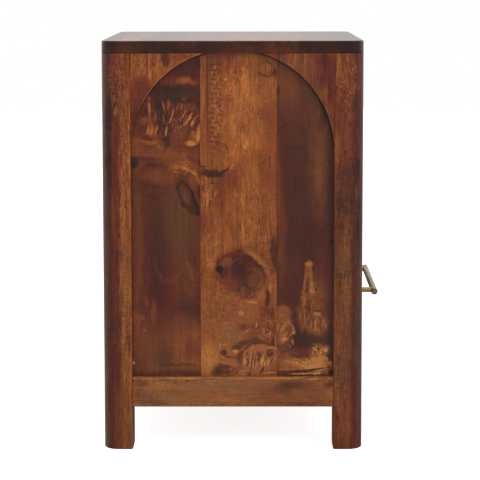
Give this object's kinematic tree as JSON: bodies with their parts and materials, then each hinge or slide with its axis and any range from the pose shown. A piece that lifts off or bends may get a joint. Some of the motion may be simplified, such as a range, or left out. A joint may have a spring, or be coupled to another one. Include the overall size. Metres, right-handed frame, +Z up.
{
  "type": "nightstand",
  "caption": "Bedside cabinet of stained solid wood with arched recessed sides, an open niche above one deep dovetailed drawer, round-cornered legs and a round brass bar handle.",
  "frame": {"origin": "on the floor, under the middle of the whole object with its handle", "axes": "+Z up, -Y towards the front with the drawer, +X to the right of someone who faces the front"},
  "size_m": [0.45, 0.4083, 0.6],
  "materials": {
    "stained_wood": "chestnut stain under gloss lacquer",
    "inner_wood": "thin satin lacquer",
    "antique_brass": "antique satin",
    "screw_steel": "zinc plated"
  },
  "bodies": {
    "carcass": {"back_board_1": "stained_wood", "back_board_2": "stained_wood", "back_board_3": "stained_wood", "back_board_4": "stained_wood", "back_bottom_rail": "stained_wood", "dust_board": "inner_wood", "front_bottom_rail": "stained_wood", "left_back_arch_corner": "stained_wood", "left_back_leg": "stained_wood", "left_bottom_rail": "stained_wood", "left_drawer_guide": "inner_wood", "left_drawer_runner": "inner_wood", "left_drawer_stop": "inner_wood", "left_front_arch_corner": "stained_wood", "left_front_leg": "stained_wood", "left_shelf_cleat": "inner_wood", "left_side_board_back": "stained_wood", "left_side_board_front": "stained_wood", "left_side_board_middle": "stained_wood", "left_top_cleat": "inner_wood", "right_back_arch_corner": "stained_wood", "right_back_leg": "stained_wood", "right_bottom_rail": "stained_wood", "right_drawer_guide": "inner_wood", "right_drawer_runner": "inner_wood", "right_drawer_stop": "inner_wood", "right_front_arch_corner": "stained_wood", "right_front_leg": "stained_wood", "right_shelf_cleat": "inner_wood", "right_side_board_back": "stained_wood", "right_side_board_front": "stained_wood", "right_side_board_middle": "stained_wood", "right_top_cleat": "inner_wood", "runner_screws": "screw_steel", "shelf_board_1": "stained_wood", "shelf_board_2": "stained_wood", "shelf_board_3": "stained_wood", "shelf_screws": "screw_steel", "top_board_1": "stained_wood", "top_board_2": "stained_wood", "top_board_3": "stained_wood", "top_board_4": "stained_wood", "top_screws": "screw_steel"},
    "drawer": {"drawer_back": "inner_wood", "drawer_bottom": "inner_wood", "drawer_front": "stained_wood", "handle_bar": "antique_brass", "handle_screws": "screw_steel", "left_drawer_side": "inner_wood", "left_handle_pillar": "antique_brass", "right_drawer_side": "inner_wood", "right_handle_pillar": "antique_brass"}
  },
  "joints": [
    {"name": "drawer_slide", "type": "slide", "parent": "carcass", "child": "drawer", "axis": [0, -1, 0], "range_m": [0, 0.25]}
  ]
}
